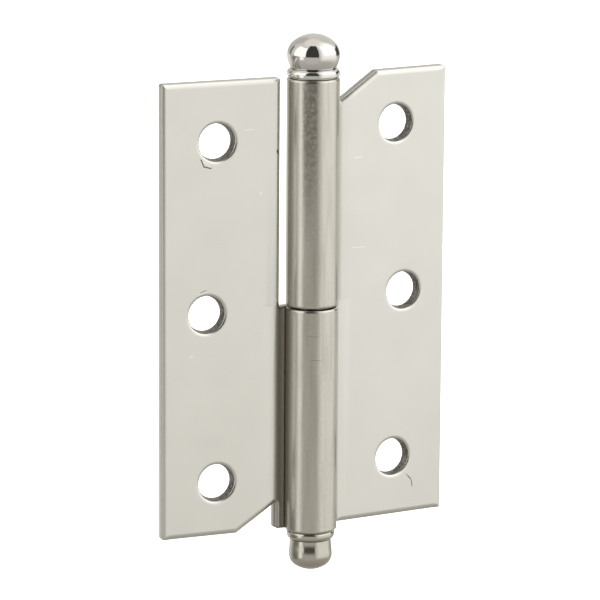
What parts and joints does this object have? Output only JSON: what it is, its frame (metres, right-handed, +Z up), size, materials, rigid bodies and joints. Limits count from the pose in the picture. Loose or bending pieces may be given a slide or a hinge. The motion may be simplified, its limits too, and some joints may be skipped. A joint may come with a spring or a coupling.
{
  "type": "lift-off hinge",
  "caption": "Rolled sheet lift-off hinge: a fixed leaf with a standing pin, a second leaf that swings on it and lifts off, a ball finial above and an acorn finial below.",
  "frame": {"origin": "middle of the fixed leaf's two end screw holes, on its back seating face", "axes": "+Z up along the pin, +Y out of the leaf's back towards the frame that it is screwed to, +X from the fixed leaf towards the lift-off leaf"},
  "size_m": [0.0408, 0.0081, 0.0712],
  "materials": {
    "leaf_nickel": "satin nickel plated sheet steel, faintly warm",
    "finial_nickel": "polished nickel plated turned steel",
    "pin_steel": "drawn steel, plain"
  },
  "bodies": {
    "frame": {"frame_leaf": "leaf_nickel", "bottom_finial": "finial_nickel"},
    "pin": {"hinge_pin": "pin_steel"},
    "door": {"door_leaf": "leaf_nickel", "top_finial": "finial_nickel"}
  },
  "joints": [
    {"name": "swing", "type": "hinge", "parent": "frame", "child": "pin", "pos_m": [0.01295, -0.0022, 0.0004], "axis": [0, 0, 1], "range_deg": [-187, 83]},
    {"name": "lift_off", "type": "slide", "parent": "pin", "child": "door", "axis": [0, 0, 1], "range_m": [0, 0.028]}
  ]
}
